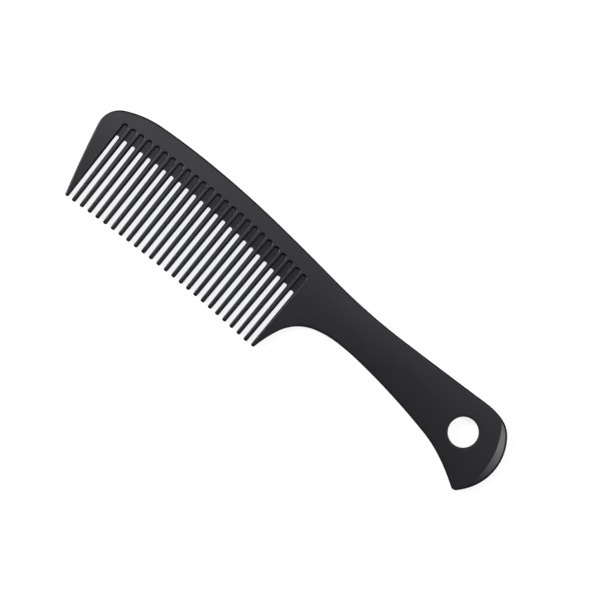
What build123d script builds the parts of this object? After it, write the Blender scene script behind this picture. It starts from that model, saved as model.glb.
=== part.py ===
from build123d import *
import math
import os

# A one-piece moulded styling comb with a handle, lying on one of its two faces.
# X runs from the nose to the butt, Y from the tooth tips to the spine and Z
# through the thickness. The origin is under the middle of the outline.
# All lengths are in millimetres and all angles in degrees.

# Thickness
thickness = 4.6          # along the crest of both faces
web_thickness = 1.2      # membrane between the tooth roots, and the land at the parting line
crest = 9.0              # Y of the head's crest, where its faces are furthest apart
taper_radius = 470.0     # from there both faces fall to the tooth tips along this arc
back_radius = 200.0      # and to the edge of the spine along this one
tip_nose = 0.9           # length of the rounding at a tip in side view

# Teeth
tooth_count = 24
tip_line = -21.4         # Y where the widths, the pitch and the gap edges below hold
tip_pitch = 4.017
tip_width = 1.88
width_gain = 0.0178      # growth of a tooth's width for each millimetre towards the root
first_axis = -97.56      # X of the first tooth's axis
fan_x = -43.9            # the tooth axes radiate from a far point at fan_x, fan_y
fan_y = -2983.0
tip_corner = 0.75        # rounding of a tip in plan
draft = 22.0             # slope of the tooth walls from the land up to the face
ridge_round = 0.3        # rounding along a ridge and round a groove's mouth

# Guard teeth at the two ends of the row
front_gap_edge = -100.33
front_gap_lean = -0.0178   # X gained by the inner edge for each millimetre towards the root
front_tip = -24.3
heel_gap_edge = -2.12
heel_gap_lean = 0.007
heel_tip = -23.9
guard_round = 0.6        # rounding along the outer edge of a guard tooth

# Arcs that the tooth row follows: highest point and radius
tip_arc = ((-49.4, -22.55), 673.0)
gap_arc = ((-68.0, 10.0), 395.0)
groove_arc = ((-58.4, 15.5), 425.0)   # centres of the grooves' half-round ends
root_arc = ((-58.4, 14.8), 425.0)     # where the teeth end and the spine begins
gap_corner = 0.6         # rounding where a gap ends against its web

# Handle
neck_start = 6.8
grip_start = 38.0
end_start = 80.0
rim_round = 0.9          # rounding along the outer edge of both faces
hole_radius = 6.5
hole_centre = (89.85, 4.1)
hole_round = 0.3

# Crescent bevel on both faces of the butt, a cone about an upright axis
bevel_centre = (78.1, -2.5)
bevel_radius = 29.1      # where the bevel starts
bevel_slope = 19.0
bevel_sink = 0.25        # depth of the bevel's start below the crest

# Sections of the handle's crowned faces: X, Y of the crest, radii below and above it
crown_stations = [
    (neck_start, crest, taper_radius, back_radius),
    (grip_start, 8.7, 146.0, 146.0),
    (end_start, 5.9, 290.0, 290.0),
    (103.0, -0.2, 465.0, 465.0),
    (112.0, -1.5, 465.0, 465.0),
]
crown_reach = 28.0       # how far from its crest a crowned face runs on

# The outline from the front guard's tip over the spine, round the butt and back under the
# handle to the heel guard's tip. Each stretch is an arc tangent to the one before it.
start_heading = 105.8
outline_points = [
    (-102.1, -23.2),
    (-109.8, 7.5),     # front edge
    (-104.5, 18.7),    # nose corner
    (-88.2, 23.3),
    (-61.9, 24.3),     # top of the spine
    (-24.2, 22.6),
    (8.0, 19.4),
    (46.4, 17.9),      # hollow of the handle's upper edge
    (89.7, 19.6),
    (98.8, 18.6),
    (105.1, 14.5),
    (108.8, 7.9),      # butt
    (105.8, -13.0),
    (102.9, -16.5),
    (100.3, -16.8),    # lower corner of the butt
    (87.1, -9.7),
    (77.0, -6.5),
    (37.8, -0.7),      # under the handle
    (25.8, -0.3),
    (15.1, -1.9),
    (3.1, -12.3),      # bay behind the heel
    (-0.3, -22.7),
]

# Values that follow from the dimensions above
mid = thickness / 2
land = web_thickness / 2
gap_count = tooth_count + 1
low_y, high_y = -27.0, 40.0
back_y = 30.0            # the crowned room of the head runs this far, past the spine
left_x, right_x = -130.0, 130.0


def arc_height(arc, x):
    """Y of one of the tooth row's arcs at x."""
    (top_x, top_y), radius = arc
    return top_y - radius + math.sqrt(radius ** 2 - (x - top_x) ** 2)


def wall_x(tooth, side, y):
    """X of a tooth's left (-1) or right (+1) wall at the land. The guards are teeth -1 and 24."""
    if tooth < 0:
        return front_gap_edge + front_gap_lean * (y - tip_line)
    if tooth >= tooth_count:
        return heel_gap_edge + heel_gap_lean * (y - tip_line)
    spread = (y - fan_y) / (tip_line - fan_y)
    axis = fan_x + (first_axis + tooth * tip_pitch - fan_x) * spread
    return axis + side * (tip_width + width_gain * (y - tip_line)) / 2


def wall_point(tooth, side, y):
    return (wall_x(tooth, side, y), y)


def prism(face, low=0.0, high=thickness):
    return extrude(Pos(0, 0, low) * face, high - low)


def on_both_faces(solid):
    return [solid, mirror(solid, about=Plane.XY.offset(mid))]


def down_along(point, heading):
    """Where a straight line from a point on the outline reaches the level of low_y."""
    steps = (low_y - point[1]) / heading.Y
    return (point[0] + steps * heading.X, low_y)


def outline_face():
    """The outline, with the edges of both guard teeth running on straight past their tips."""
    heading = Vector(math.cos(math.radians(start_heading)), math.sin(math.radians(start_heading)))
    first, last = outline_points[0], outline_points[-1]
    front_end = down_along(first, heading)
    edges = []
    for start, stop in zip(outline_points, outline_points[1:]):
        arc = TangentArc(start, stop, tangent=heading)
        heading = arc % 1
        edges.append(arc)
    heel_end = down_along(last, heading)
    edges.append(Polyline(last, heel_end, front_end, first))
    return make_face(edges)


def below(arc):
    """Everything on the teeth's side of one of the row's arcs."""
    (top_x, top_y), radius = arc
    return prism(Pos(top_x, top_y - radius) * Circle(radius), -1, thickness + 1)


def between(low_x, high_x):
    centre = (low_x + high_x) / 2
    return Pos(centre, 0, mid) * Box(high_x - low_x, high_y - low_y, 2 * thickness)


def foot(point, start, stop):
    """The point of a straight wall that is nearest to a given point."""
    along = (Vector(*stop) - Vector(*start)).normalized()
    return Vector(*start) + along * (Vector(*point) - Vector(*start)).dot(along)


def channel(gap):
    """The drafted groove of one gap, down to the web from both faces, with a half-round end."""
    peak_y = groove_arc[0][1]
    end_y = arc_height(groove_arc, (wall_x(gap - 1, 1, peak_y) + wall_x(gap, -1, peak_y)) / 2)
    centre = ((wall_x(gap - 1, 1, end_y) + wall_x(gap, -1, end_y)) / 2, end_y)
    left_low, left_high = wall_point(gap - 1, 1, low_y), wall_point(gap - 1, 1, high_y)
    right_low, right_high = wall_point(gap, -1, low_y), wall_point(gap, -1, high_y)
    left = foot(centre, left_low, left_high)
    right = foot(centre, right_low, right_high)
    radius = (left - Vector(*centre)).length
    face = make_face([
        Line(left_low, left),
        ThreePointArc(left, (centre[0], centre[1] + radius), right),
        Line(right, right_low),
        Line(right_low, left_low),
    ])
    groove = extrude(Pos(0, 0, mid + land) * face, mid - land, taper=-draft)
    return on_both_faces(groove)


def fall(radius, reach):
    """How much an arc has dropped this far from its highest point."""
    return radius - math.sqrt(radius ** 2 - reach ** 2)


def side_room(tip_y, nosed=True):
    """The room that the head has in side view: full at the crest, thinner and rounded at the tip."""
    nose_y = tip_y + tip_nose
    half_y = (crest + nose_y) / 2
    upper = mid - fall(taper_radius, crest - nose_y)
    middle = mid - fall(taper_radius, crest - half_y)
    back_half_y = (crest + back_y) / 2
    back = mid - fall(back_radius, back_y - crest)
    back_middle = mid - fall(back_radius, back_half_y - crest)
    end = Line((nose_y, mid + upper), (nose_y, mid - upper))
    if nosed:
        end = ThreePointArc((nose_y, mid + upper), (tip_y, mid), (nose_y, mid - upper))
    face = make_face([
        Line((back_y, mid - back), (back_y, mid + back)),
        ThreePointArc((back_y, mid + back), (back_half_y, mid + back_middle), (crest, thickness)),
        ThreePointArc((crest, thickness), (half_y, mid + middle), (nose_y, mid + upper)),
        end,
        ThreePointArc((nose_y, mid - upper), (half_y, mid - middle), (crest, 0)),
        ThreePointArc((crest, 0), (back_half_y, mid - back_middle), (back_y, mid - back)),
    ])
    return extrude(Plane.YZ.offset(left_x) * face, right_x - left_x)


def round_ridges(solid, near_x):
    """Rounds the long edges where the groove walls near an X meet the faces."""
    ridges = [edge for edge in solid.edges()
              if edge.length > tip_pitch and abs(edge.center().Z - mid) > land + ridge_round
              and abs(edge.center().X - near_x) < tip_pitch / 2]
    return fillet(ridges, ridge_round)


def square_tooth(column, tip_y, grooves, near_x):
    """A thinned tooth with its drafted walls and rounded ridges, before its tip is shaped."""
    room = side_room(tip_y - tip_nose, nosed=False)
    return round_ridges((prism(column) & room & below(root_arc)) - grooves, near_x)


def shape_tip(solid, column, tip_y):
    corners = column.vertices().sort_by(Axis.Y)[:2]
    return solid & prism(fillet(corners, tip_corner)) & side_room(tip_y)


def tooth(number, channels):
    tip_y = arc_height(tip_arc, wall_x(number, 0, tip_line))
    column = make_face(Polyline(
        wall_point(number, -1, high_y), wall_point(number, -1, tip_y),
        wall_point(number, 1, tip_y), wall_point(number, 1, high_y), close=True))
    solid = square_tooth(column, tip_y, channels[number] + channels[number + 1], wall_x(number, 0, 0))
    return shape_tip(solid, column, tip_y)


def root_web(gap):
    """The thin membrane that closes a gap at its root, up to where the spine takes over."""
    left, right = gap - 1, gap
    middle_x = (wall_x(left, 1, 0) + wall_x(right, -1, 0)) / 2
    top = arc_height(gap_arc, middle_x)
    low = top - gap_corner
    inset = gap_corner * (1 - math.sqrt(0.5))
    start_x, end_x = wall_x(left, 1, low), wall_x(right, -1, low)
    face = make_face([
        Line(wall_point(left, 1, high_y), (start_x, low)),
        ThreePointArc((start_x, low), (start_x + inset, top - inset), (start_x + gap_corner, top)),
        Line((start_x + gap_corner, top), (end_x - gap_corner, top)),
        ThreePointArc((end_x - gap_corner, top), (end_x - inset, top - inset), (end_x, low)),
        Line((end_x, low), wall_point(right, -1, high_y)),
        Line(wall_point(right, -1, high_y), wall_point(left, 1, high_y)),
    ])
    return prism(face, mid - land, mid + land) & below(root_arc)


def crowned_room():
    """The room between the handle's two crowned faces."""
    sections = []
    for x, crest_y, low_radius, high_radius in crown_stations:
        low, low_half = crest_y - crown_reach, crest_y - crown_reach / 2
        high, high_half = crest_y + crown_reach, crest_y + crown_reach / 2
        low_z, low_half_z = mid - fall(low_radius, crown_reach), mid - fall(low_radius, crown_reach / 2)
        high_z, high_half_z = mid - fall(high_radius, crown_reach), mid - fall(high_radius, crown_reach / 2)
        face = make_face([
            ThreePointArc((low, mid + low_z), (low_half, mid + low_half_z), (crest_y, thickness)),
            ThreePointArc((crest_y, thickness), (high_half, mid + high_half_z), (high, mid + high_z)),
            Line((high, mid + high_z), (high, mid - high_z)),
            ThreePointArc((high, mid - high_z), (high_half, mid - high_half_z), (crest_y, 0)),
            ThreePointArc((crest_y, 0), (low_half, mid - low_half_z), (low, mid - low_z)),
            Line((low, mid - low_z), (low, mid + low_z)),
        ])
        sections.append(Plane.YZ.offset(x) * face)
    return loft(sections)


def round_rim(solid, rim, radius=rim_round):
    """Rounds the edges of both faces that lie on the outline."""
    edges = [edge for edge in solid.edges()
             if abs(edge.center().Z - mid) > 1
             and all(rim.distance_to(Vector(p.X, p.Y, 0)) < 0.02 for p in (edge @ 0.1, edge @ 0.5, edge @ 0.9))]
    return fillet(edges, radius)


def round_grooves(solid):
    """Rounds the half-round groove ends where they meet the spine's faces."""
    mouths = []
    for edge in solid.edges():
        start, top, stop = edge @ 0, edge @ 0.5, edge @ 1
        on_a_face = abs(top.Z - mid) > mid - ridge_round
        half_round = edge.length < 2 * tip_pitch and top.Y > max(start.Y, stop.Y) + land
        if on_a_face and half_round and abs(start.X - stop.X) > web_thickness:
            mouths.append(edge)
    return fillet(mouths, ridge_round)


def spine(plate, rim, channels):
    """The solid bar along the top of the head, with the ends of the grooves."""
    solid = plate & side_room(low_y) & between(left_x, neck_start)
    solid = solid - below(root_arc) - [groove for pair in channels for groove in pair]
    return round_rim(round_grooves(solid), rim)


def guard(plan, rim, corners, tip_y, grooves, near_x):
    """A guard tooth: the part of the outline inside four corners, thinned like the other teeth."""
    column = plan & make_face(Polyline(*corners, close=True))
    solid = square_tooth(column, tip_y, grooves, near_x)
    return shape_tip(round_rim(solid, rim, guard_round), column, tip_y)


def front_guard(plan, rim, channels):
    corners = [(left_x, front_tip), wall_point(-1, 1, front_tip), wall_point(-1, 1, high_y), (left_x, high_y)]
    return guard(plan, rim, corners, front_tip, channels[0], wall_x(-1, 1, 0))


def heel_guard(plan, rim, channels):
    corners = [wall_point(tooth_count, -1, heel_tip), (neck_start, heel_tip),
               (neck_start, high_y), wall_point(tooth_count, -1, high_y)]
    return guard(plan, rim, corners, heel_tip, channels[-1], wall_x(tooth_count, -1, 0))


def crescent():
    """What the bevel takes off both faces of the butt, outside a cone."""
    slope = math.tan(math.radians(bevel_slope))
    inside, outside = 2.0, 8.0
    start = thickness - bevel_sink
    face = make_face(Polyline(
        (bevel_radius - inside, start + inside * slope), (bevel_radius + outside, start + inside * slope),
        (bevel_radius + outside, start - outside * slope), close=True))
    ring = revolve(Plane.XZ * face, Axis.Z)
    return on_both_faces(Pos(*bevel_centre) * ring)


def handle_length(plate, rim, low_x, high_x):
    """A length of the handle with its crowned faces and rounded rim."""
    return round_rim(plate & crowned_room() & between(low_x, high_x), rim)


def hanging_end(plate, rim):
    """The butt, with the crescent bevels and the hole it hangs by."""
    solid = handle_length(plate, rim, end_start, right_x) - crescent()
    solid = solid - Pos(*hole_centre, mid) * Cylinder(hole_radius, 2 * thickness)
    hole_rims = [edge for edge in solid.edges()
                 if all(abs(math.dist((p.X, p.Y), hole_centre) - hole_radius) < 0.01 and abs(p.Z - mid) > 1
                        for p in (edge @ 0, edge @ 0.5))]
    return fillet(hole_rims, hole_round)


def build():
    """Every node of the comb, by name."""
    plan = outline_face()
    plate = prism(plan)
    rim = Wire([edge for edge in plan.edges() if edge.geom_type == GeomType.CIRCLE])
    channels = [channel(gap) for gap in range(gap_count)]
    nodes = {
        "spine": spine(plate, rim, channels),
        "front_guard_tooth": front_guard(plan, rim, channels),
        "heel_guard_tooth": heel_guard(plan, rim, channels),
        "neck": handle_length(plate, rim, neck_start, grip_start),
        "grip": handle_length(plate, rim, grip_start, end_start),
        "hanging_end": hanging_end(plate, rim),
    }
    for number in range(tooth_count):
        nodes[f"tooth_{number + 1:02d}"] = tooth(number, channels)
    for gap in range(gap_count):
        nodes[f"root_web_{gap + 1:02d}"] = root_web(gap)
    return nodes


os.makedirs("parts", exist_ok=True)
for name, solid in build().items():
    export_step(solid, f"parts/{name}.step")
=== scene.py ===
import math

import bmesh
import bpy
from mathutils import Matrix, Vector
from mathutils.geometry import delaunay_2d_cdt


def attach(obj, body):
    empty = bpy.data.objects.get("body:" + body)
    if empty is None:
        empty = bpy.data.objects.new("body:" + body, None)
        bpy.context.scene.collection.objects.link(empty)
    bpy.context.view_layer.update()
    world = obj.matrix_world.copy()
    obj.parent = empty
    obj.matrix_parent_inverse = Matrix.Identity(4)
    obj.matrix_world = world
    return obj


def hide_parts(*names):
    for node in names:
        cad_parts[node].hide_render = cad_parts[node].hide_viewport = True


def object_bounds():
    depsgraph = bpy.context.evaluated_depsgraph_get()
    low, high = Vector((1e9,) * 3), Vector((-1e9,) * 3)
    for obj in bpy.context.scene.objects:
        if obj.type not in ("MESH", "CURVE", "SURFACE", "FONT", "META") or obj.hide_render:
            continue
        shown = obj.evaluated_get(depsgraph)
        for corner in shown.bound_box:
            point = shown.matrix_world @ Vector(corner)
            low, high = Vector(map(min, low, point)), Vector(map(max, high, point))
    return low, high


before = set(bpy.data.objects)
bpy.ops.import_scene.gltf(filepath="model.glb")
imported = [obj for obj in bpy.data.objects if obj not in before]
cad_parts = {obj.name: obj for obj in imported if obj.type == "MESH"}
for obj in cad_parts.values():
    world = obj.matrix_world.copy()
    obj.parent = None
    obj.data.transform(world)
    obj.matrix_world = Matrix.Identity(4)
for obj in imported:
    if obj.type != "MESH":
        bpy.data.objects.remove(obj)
cad_low, cad_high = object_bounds()

MM = 0.001
THICKNESS = 4.6


# ---------------------------------------------------------------- materials

class Graph:
    """A small helper for building node trees."""

    def __init__(self, material):
        material.use_nodes = True
        self.tree = material.node_tree
        self.nodes = self.tree.nodes
        self.links = self.tree.links
        self.nodes.clear()

    def node(self, kind, **settings):
        n = self.nodes.new(kind)
        for key, value in settings.items():
            if key in n.inputs:
                if isinstance(value, bpy.types.NodeSocket):
                    self.links.new(value, n.inputs[key])
                else:
                    n.inputs[key].default_value = value
            else:
                setattr(n, key, value)
        return n

    def link(self, a, b):
        self.links.new(a, b)


# Texture scales are in features per metre, and heights in metres.
GRAIN_SCALE = 4200.0
CLOUD_SCALE = 85.0
SCRATCH_SCALE = (45.0, 2600.0, 45.0)   # long along the comb, fine across it
SCRATCH_TURN = math.radians(7)
GRAIN_HEIGHT = 0.0000014
SCRATCH_DEPTH = 0.0000008
SEAM_HEIGHT = 0.000022
SEAM_HALF_WIDTH = (0.00002, 0.00009)   # where the raised line starts to fall, and where it ends
GLOSSY, DULL = 0.315, 0.36             # roughness range of the clouds
SCRATCH_DULLING = 0.05
TIP_POLISH = 0.03
WARM_BLACK = (0.0128, 0.0124, 0.0150, 1)
DEEP_BLACK = (0.0112, 0.0112, 0.0130, 1)


def black_plastic():
    """Satin black moulded plastic: a fine grain, cloudy gloss, faint wiping scratches on the head and
    the handle, tooth tips polished by use, and the raised line where the halves of the mould met."""
    material = bpy.data.materials.new("moulded_black")
    g = Graph(material)
    place = g.node("ShaderNodeTexCoord").outputs["Object"]
    x, y, z = g.node("ShaderNodeSeparateXYZ", Vector=place).outputs

    def noise(vector, scale, detail, roughness=0.5):
        n = g.node("ShaderNodeTexNoise", Vector=vector, Scale=scale, Detail=detail, Roughness=roughness)
        return n.outputs["Fac"]

    def ramp(value, low, high, start, end, smooth=False):
        kind = "SMOOTHSTEP" if smooth else "LINEAR"
        n = g.node("ShaderNodeMapRange", Value=value, interpolation_type=kind)
        for name, number in (("From Min", low), ("From Max", high), ("To Min", start), ("To Max", end)):
            n.inputs[name].default_value = number
        return n.outputs["Result"]

    def calc(operation, *values):
        n = g.node("ShaderNodeMath", operation=operation)
        for socket, value in zip(n.inputs, values):
            if isinstance(value, bpy.types.NodeSocket):
                g.link(value, socket)
            else:
                socket.default_value = value
        return n.outputs[0]

    grain = noise(place, GRAIN_SCALE, 2.0)
    clouds = noise(place, CLOUD_SCALE, 4.0, 0.6)
    drawn = g.node("ShaderNodeMapping", Vector=place)
    drawn.inputs["Rotation"].default_value = (0, 0, SCRATCH_TURN)
    drawn.inputs["Scale"].default_value = SCRATCH_SCALE
    streaks = noise(drawn.outputs["Vector"], 1.0, 2.0)

    worn = ramp(clouds, 0.50, 0.62, 0.0, 1.0, True)
    off_teeth = calc("MAXIMUM", ramp(y, 0.008, 0.014, 0.0, 1.0), ramp(x, 0.0, 0.006, 0.0, 1.0))
    scratches = calc("MULTIPLY", ramp(streaks, 0.66, 0.76, 0.0, 1.0, True), worn)
    scratches = calc("MULTIPLY", scratches, off_teeth)
    polish = ramp(y, -0.023, -0.012, TIP_POLISH, 0.0, True)

    dullness = ramp(clouds, 0.35, 0.65, GLOSSY, DULL)
    dullness = calc("ADD", dullness, calc("MULTIPLY", scratches, SCRATCH_DULLING))
    dullness = calc("SUBTRACT", dullness, polish)
    tone = g.node("ShaderNodeMix", data_type="RGBA")
    g.link(ramp(clouds, 0.35, 0.65, 0.0, 1.0), tone.inputs["Factor"])
    tone.inputs["A"].default_value = WARM_BLACK
    tone.inputs["B"].default_value = DEEP_BLACK

    off_middle = calc("ABSOLUTE", calc("SUBTRACT", z, THICKNESS / 2 * MM))
    seam = ramp(off_middle, *SEAM_HALF_WIDTH, 1.0, 0.0, True)
    height = calc("ADD", calc("MULTIPLY", grain, GRAIN_HEIGHT), calc("MULTIPLY", seam, SEAM_HEIGHT))
    height = calc("SUBTRACT", height, calc("MULTIPLY", scratches, SCRATCH_DEPTH))
    bump = g.node("ShaderNodeBump", Height=height, Strength=1.0, Distance=1.0)

    shader = g.node("ShaderNodeBsdfPrincipled")
    g.link(tone.outputs["Result"], shader.inputs["Base Color"])
    g.link(dullness, shader.inputs["Roughness"])
    g.link(bump.outputs["Normal"], shader.inputs["Normal"])
    out = g.node("ShaderNodeOutputMaterial")
    g.link(shader.outputs["BSDF"], out.inputs["Surface"])
    return material


def floor_paper():
    """Pale matt paper that glows enough to stay white under the soft lights."""
    material = bpy.data.materials.new("pale_floor")
    g = Graph(material)
    out = g.node("ShaderNodeOutputMaterial")
    shader = g.node("ShaderNodeBsdfPrincipled", Roughness=0.9)
    shader.inputs["Base Color"].default_value = (0.30, 0.30, 0.30, 1)
    shader.inputs["Emission Color"].default_value = (1, 1, 1, 1)
    shader.inputs["Emission Strength"].default_value = 0.84
    g.link(shader.outputs["BSDF"], out.inputs["Surface"])
    return material


plastic = black_plastic()
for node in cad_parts.values():
    node.data.materials.clear()
    node.data.materials.append(plastic)

# ---------------------------------------------------------------- the butt's moulded skin

# All lengths of this piece are in millimetres, in the frame of the CAD.
RIM = 0.9                      # rounding along the outline
HOLE = (89.85, 4.1)
HOLE_RADIUS = 6.5
HOLE_RIM = 0.3
SEAM_X = 80.0                  # where the skin meets the grip
CROWN = [(80.0, 5.9, 290.0), (103.0, -0.2, 465.0), (112.0, -1.5, 465.0)]
BEVEL_CENTRE = (78.1, -2.5)
BEVEL_RADIUS = 29.1
BEVEL_SLOPE = math.tan(math.radians(19.0))
BEVEL_SINK = 0.25
CREASE_SOFTNESS = 0.02
CREASE_INSET = 0.45            # the bevel meets the crowned face this far inside its radius
CREASE_ROWS = (-0.45, -0.2, 0.0, 0.2, 0.45, 1.0, 1.6)
CREASE_FROM, CREASE_TO, CREASE_STEP = -40.0, 62, 0.8   # degrees
GRID_STEP = 0.9

START_HEADING = math.radians(105.8)
OUTLINE = [
    (-102.1, -23.2), (-109.8, 7.5), (-104.5, 18.7), (-88.2, 23.3), (-61.9, 24.3), (-24.2, 22.6),
    (8.0, 19.4), (46.4, 17.9), (89.7, 19.6), (98.8, 18.6), (105.1, 14.5), (108.8, 7.9),
    (105.8, -13.0), (102.9, -16.5), (100.3, -16.8), (87.1, -9.7), (77.0, -6.5),
]


def tangent_arcs():
    """The outline's arcs as start, heading, radius and turn, each tangent to the one before it."""
    heading = START_HEADING
    arcs = []
    for (ax, ay), (bx, by) in zip(OUTLINE, OUTLINE[1:]):
        chord = math.hypot(bx - ax, by - ay)
        bend = (math.atan2(by - ay, bx - ax) - heading + math.pi) % (2 * math.pi) - math.pi
        arcs.append(((ax, ay), heading, chord / (2 * math.sin(bend)), 2 * bend))
        heading += 2 * bend
    return arcs


def arc_point(arc, share):
    """A point of an arc and the inward normal there, which is to the right of the way it runs."""
    (ax, ay), heading, radius, turn_by = arc
    now = heading + turn_by * share
    x = ax + radius * (math.sin(now) - math.sin(heading))
    y = ay - radius * (math.cos(now) - math.cos(heading))
    return (x, y), (math.sin(now), -math.cos(now))


def butt_outline(step=0.35):
    """Points and inward normals along the outline from the seam, round the butt and back to it."""
    run = []
    for arc in tangent_arcs():
        length = abs(arc[2] * arc[3])
        count = max(2, round(length / step))
        run += [arc_point(arc, i / count) for i in range(count)]
    inside = [i for i, (p, n) in enumerate(run) if p[0] > SEAM_X + 0.05]
    first, last = inside[0], inside[-1]
    kept = run[first:last + 1]
    ends = []
    for near, far in ((run[first], run[first - 1]), (run[last], run[(last + 1) % len(run)])):
        share = (near[0][0] - SEAM_X) / (near[0][0] - far[0][0])
        ends.append(((SEAM_X, near[0][1] + (far[0][1] - near[0][1]) * share), near[1]))
    return [ends[0]] + kept + [ends[1]]


def crowned(x, y):
    """Height of the crowned face, which is a shallow arc across the handle."""
    for (x0, c0, r0), (x1, c1, r1) in zip(CROWN, CROWN[1:]):
        if x <= x1 or x1 == CROWN[-1][0]:
            share = (x - x0) / (x1 - x0)
            crest = c0 + (c1 - c0) * share
            radius = r0 + (r1 - r0) * share
            return THICKNESS - radius + math.sqrt(radius ** 2 - (y - crest) ** 2)


def face_height(x, y):
    """The crowned face with the crescent bevel taken off it, and a soft crease between the two."""
    flat = crowned(x, y)
    reach = math.hypot(x - BEVEL_CENTRE[0], y - BEVEL_CENTRE[1]) - BEVEL_RADIUS
    cone = THICKNESS - BEVEL_SINK - reach * BEVEL_SLOPE
    gap = (cone - flat) / CREASE_SOFTNESS
    if gap > 30:
        return flat
    return flat - CREASE_SOFTNESS * math.log(1 + math.exp(-gap)) if gap > -30 else cone


def rounding(radius, inset):
    """How far a rounded edge has dropped at this distance in from the edge."""
    return radius - math.sqrt(max(0.0, radius ** 2 - (radius - min(inset, radius)) ** 2))


def polar(centre, reach, angle):
    return centre[0] + reach * math.cos(angle), centre[1] + reach * math.sin(angle)


def in_loop(point, loop):
    """Whether a point is inside a closed polygon."""
    x, y = point
    odd = False
    for (ax, ay), (bx, by) in zip(loop, loop[1:] + loop[:1]):
        if (ay > y) != (by > y) and x < ax + (bx - ax) * (y - ay) / (by - ay):
            odd = not odd
    return odd


def build_butt():
    """Both faces as height fields over the outline, joined by the side wall and the wall of the hole."""
    mesh = bmesh.new()
    outline = butt_outline()
    insets = [RIM * (1 - math.cos(math.radians(a))) for a in (0, 11, 22, 33, 45, 57, 70, 82)] + [RIM + 0.02]
    hole_insets = [HOLE_RIM * (1 - math.cos(math.radians(a))) for a in (0, 22, 45, 67)] + [HOLE_RIM + 0.02]

    def ring_point(place, inset):
        (x, y), (nx, ny) = place
        if x == SEAM_X:
            return (x, y + inset / ny)
        return (x + nx * inset, y + ny * inset)

    rim_rings = [[ring_point(place, inset) for place in outline] for inset in insets]
    hole_count = 120
    around = [2 * math.pi * i / hole_count for i in range(hole_count)]
    hole_rings = [[polar(HOLE, HOLE_RADIUS + e, a) for a in around] for e in hole_insets]

    # the plan of the face inside the roundings
    border = rim_rings[-1]
    top_y, low_y = border[0][1], border[-1][1]
    seam_count = 30
    seam = [(SEAM_X, low_y + (top_y - low_y) * i / seam_count) for i in range(1, seam_count)]
    loop = border + seam
    points = list(loop)
    edges = [(i, (i + 1) % len(loop)) for i in range(len(loop))]
    start = len(points)
    points += hole_rings[-1]
    edges += [(start + i, start + (i + 1) % hole_count) for i in range(hole_count)]
    for offset in CREASE_ROWS:
        angle = CREASE_FROM
        while angle < CREASE_TO:
            reach = BEVEL_RADIUS - CREASE_INSET + offset
            p = polar(BEVEL_CENTRE, reach, math.radians(angle))
            if in_loop(p, loop) and min(math.dist(p, q) for q in border) > 0.15:
                points.append(p)
            angle += CREASE_STEP
    for i in range(int(32 / GRID_STEP)):
        for j in range(int(38 / GRID_STEP)):
            p = (SEAM_X + 0.5 + i * GRID_STEP, -18 + (j + 0.5 * (i % 2)) * GRID_STEP)
            reach = math.dist(p, BEVEL_CENTRE) - BEVEL_RADIUS + CREASE_INSET
            if abs(reach) < 0.7 or math.dist(p, HOLE) < HOLE_RADIUS + HOLE_RIM + 0.4:
                continue
            if in_loop(p, loop) and min(math.dist(p, q) for q in border) > 0.4:
                points.append(p)
    flat, _, triangles, origins, _, _ = delaunay_2d_cdt([Vector(p) for p in points], edges, [], 0, 1e-6)
    where = {}
    for index, sources in enumerate(origins):
        for source in sources:
            where[source] = index

    faces = []
    for triangle in triangles:
        cx = sum(flat[i].x for i in triangle) / 3
        cy = sum(flat[i].y for i in triangle) / 3
        if in_loop((cx, cy), loop) and not in_loop((cx, cy), hole_rings[-1]):
            faces.append(triangle)

    sides = {}
    for side in (1, -1):
        def put(x, y, z):
            return mesh.verts.new((x * MM, y * MM, (z if side > 0 else THICKNESS - z) * MM))

        rims = [[put(x, y, face_height(x, y) - rounding(RIM, inset)) for x, y in ring]
                for ring, inset in zip(rim_rings[:-1], insets)]
        holes = [[put(x, y, face_height(x, y) - rounding(HOLE_RIM, e)) for x, y in ring]
                 for ring, e in zip(hole_rings[:-1], hole_insets)]
        inner = [put(p.x, p.y, face_height(p.x, p.y)) for p in flat]
        rims.append([inner[where[i]] for i in range(len(border))])
        holes.append([inner[where[start + i]] for i in range(hole_count)])

        def fill(corners):
            mesh.faces.new(corners if side > 0 else corners[::-1])

        for triangle in faces:
            fill([inner[i] for i in triangle])
        for outer, within in zip(rims, rims[1:]):
            for i in range(len(outer) - 1):
                fill([outer[i + 1], outer[i], within[i], within[i + 1]])
        for within, outer in zip(holes, holes[1:]):
            for i in range(hole_count):
                k = (i + 1) % hole_count
                fill([within[i], outer[i], outer[k], within[k]])
        seam_row = [rims[-1][-1]] + [inner[where[len(border) + i]] for i in range(len(seam))] + [rims[-1][0]]
        sides[side] = (rims, holes, seam_row)

    # side wall, wall of the hole, and the flat end that meets the grip
    top, bottom = sides[1], sides[-1]
    for i in range(len(outline) - 1):
        mesh.faces.new([top[0][0][i], top[0][0][i + 1], bottom[0][0][i + 1], bottom[0][0][i]])
    for i in range(hole_count):
        k = (i + 1) % hole_count
        mesh.faces.new([top[1][0][k], top[1][0][i], bottom[1][0][i], bottom[1][0][k]])
    upper = [ring[-1] for ring in top[0][:-1]] + top[2] + [ring[0] for ring in top[0][:-1]][::-1]
    lower = [ring[-1] for ring in bottom[0][:-1]] + bottom[2] + [ring[0] for ring in bottom[0][:-1]][::-1]
    end_faces = []
    for i in range(len(upper) - 1):
        end_faces.append(mesh.faces.new([upper[i], upper[i + 1], lower[i + 1], lower[i]]))
    bmesh.ops.delete(mesh, geom=[v for v in mesh.verts if not v.link_faces], context="VERTS")
    bmesh.ops.recalc_face_normals(mesh, faces=mesh.faces)
    for f in mesh.faces:
        f.smooth = f not in end_faces
    for f in end_faces:
        for e in f.edges:
            e.smooth = False
    data = bpy.data.meshes.new("hanging_end_skin")
    mesh.to_mesh(data)
    mesh.free()
    thing = bpy.data.objects.new("hanging_end_skin", data)
    bpy.context.scene.collection.objects.link(thing)
    return thing


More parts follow.
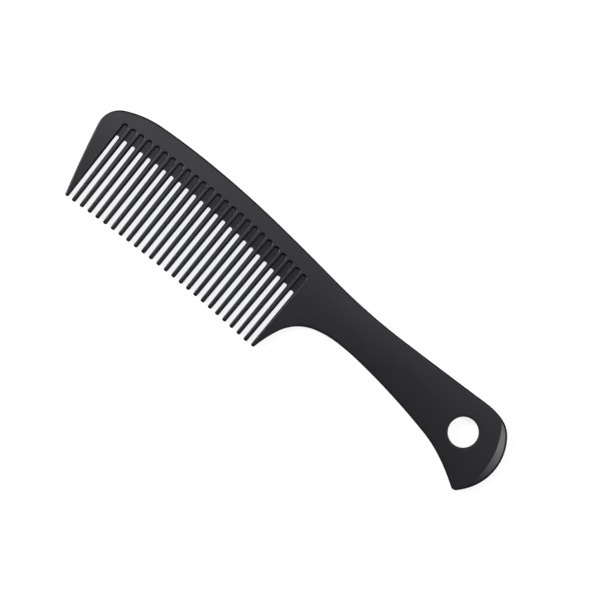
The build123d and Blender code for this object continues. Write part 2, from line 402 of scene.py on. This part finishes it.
butt = build_butt()
butt.data.materials.append(plastic)
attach(butt, "root")
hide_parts("hanging_end")

# ---------------------------------------------------------------- stage

FLOOR_GAP = 0.0002
COMB_TURN = math.radians(39.24)          # how far the camera is turned about the upright axis
CAMERA_HEIGHT = 2.0
VIEW_WIDTH = 0.25066                     # width of the picture at the comb, in metres
SENSOR = 36.0
LIGHT_COLOUR = (0.985, 0.965, 1.0)

centre = (cad_low + cad_high) / 2
aim = centre + Vector((2.06, 3.75, 0)) * MM
handle = aim + Vector((0.1, 0, 0))

bpy.ops.mesh.primitive_plane_add(size=6.0, location=(centre.x, centre.y, -FLOOR_GAP))
floor = bpy.context.object
floor.name = "studio_floor"
floor.data.materials.append(floor_paper())
floor.visible_glossy = False    # the pale paper shows between the teeth without glowing on their walls
floor.visible_diffuse = False

world = bpy.data.worlds.new("studio")
bpy.context.scene.world = world
world.use_nodes = True
sky = world.node_tree
dim = sky.nodes["Background"]
dim.inputs["Color"].default_value = (1, 1, 1, 1)
dim.inputs["Strength"].default_value = 0.05
backdrop = sky.nodes.new("ShaderNodeBackground")
backdrop.inputs["Color"].default_value = (1, 1, 1, 1)
backdrop.inputs["Strength"].default_value = 1.0
rays = sky.nodes.new("ShaderNodeLightPath")
seen = sky.nodes.new("ShaderNodeMixShader")
sky.links.new(rays.outputs["Is Camera Ray"], seen.inputs[0])
sky.links.new(dim.outputs[0], seen.inputs[1])
sky.links.new(backdrop.outputs[0], seen.inputs[2])
sky.links.new(seen.outputs[0], sky.nodes["World Output"].inputs["Surface"])


def panel(name, x, y, height, width, depth, power, target=None):
    """A rectangular light over a place on the comb's own axes."""
    light = bpy.data.lights.new(name, "AREA")
    light.shape = "RECTANGLE"
    light.size, light.size_y = width, depth
    light.energy = power
    light.color = LIGHT_COLOUR
    thing = bpy.data.objects.new(name, light)
    bpy.context.scene.collection.objects.link(thing)
    thing.location = aim + Vector((x, y, height))
    thing.visible_camera = False
    facing = Vector((0, 0, -1)) if target is None else target - thing.location
    thing.rotation_euler = facing.to_track_quat("-Z", "Y").to_euler()
    return thing


panel("nose", -0.155, 0.01, 0.42, 0.16, 0.10, 0.085)
panel("overhead", -0.40, 0.44, 0.95, 1.3, 0.70, 3.3)
panel("key", -0.81, -0.20, 0.65, 0.60, 0.26, 9.4, aim)
panel("corner", 0.67, 0.31, 0.79, 0.50, 0.20, 3.6, handle)

camera_data = bpy.data.cameras.new("camera")
camera = bpy.data.objects.new("camera", camera_data)
bpy.context.scene.collection.objects.link(camera)
camera_data.sensor_width = SENSOR
camera_data.lens = SENSOR * CAMERA_HEIGHT / VIEW_WIDTH
camera.location = aim + Vector((0, 0, CAMERA_HEIGHT))
camera.rotation_euler = (0, 0, COMB_TURN)
bpy.context.scene.camera = camera
bpy.context.scene.view_settings.view_transform = "Standard"
